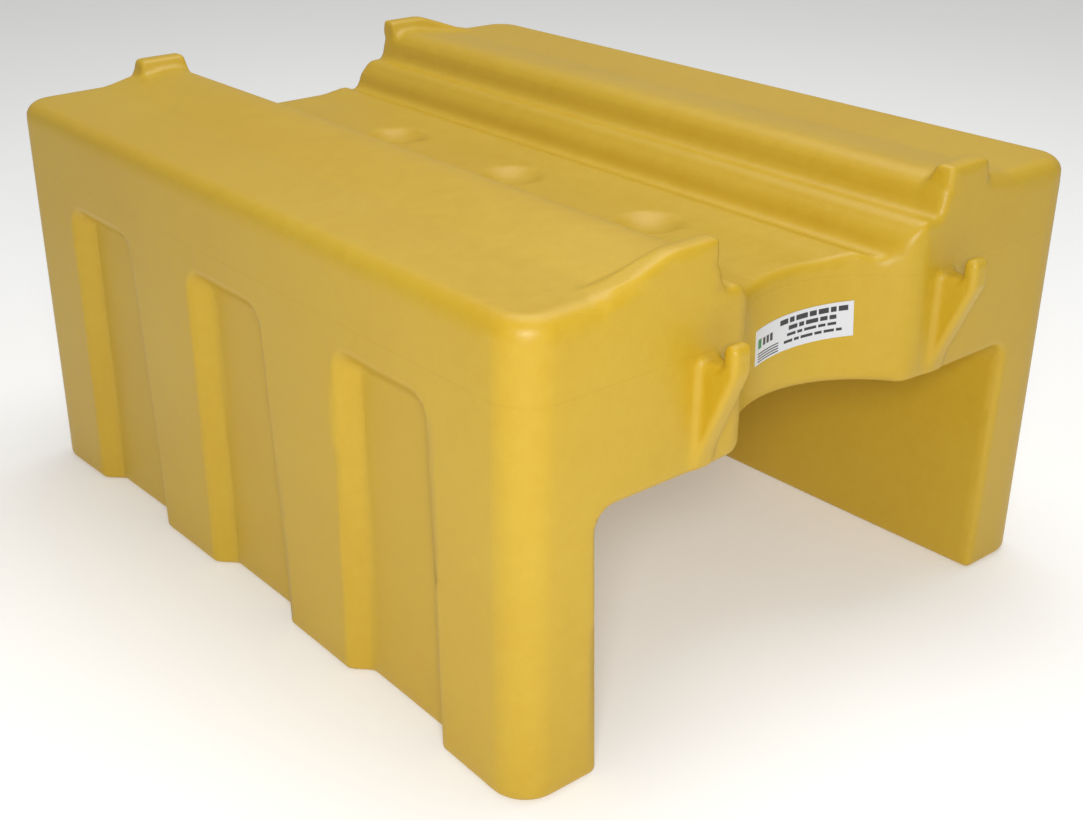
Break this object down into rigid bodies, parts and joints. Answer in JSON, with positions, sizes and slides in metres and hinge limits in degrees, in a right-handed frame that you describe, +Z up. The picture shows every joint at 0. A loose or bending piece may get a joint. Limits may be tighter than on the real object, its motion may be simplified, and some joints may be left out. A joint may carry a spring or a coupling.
{
  "type": "drum stacker",
  "caption": "Hollow moulded cradle that holds a drum on its side above two legs, with stacking horns, a spout recess and hooks at its front.",
  "frame": {"origin": "on the floor, at the middle of the overall length over the hooks and of the width", "axes": "+Z up, -Y towards the front with the spout recess and hooks, Y along the drum's axis, X across the two legs"},
  "size_m": [0.76, 0.987, 0.495],
  "materials": {
    "body": "moulded yellow polyethylene, slightly translucent, satin with a fine grain",
    "label": null
  },
  "bodies": {
    "root": {"body": "body", "label": "label"}
  },
  "joints": []
}
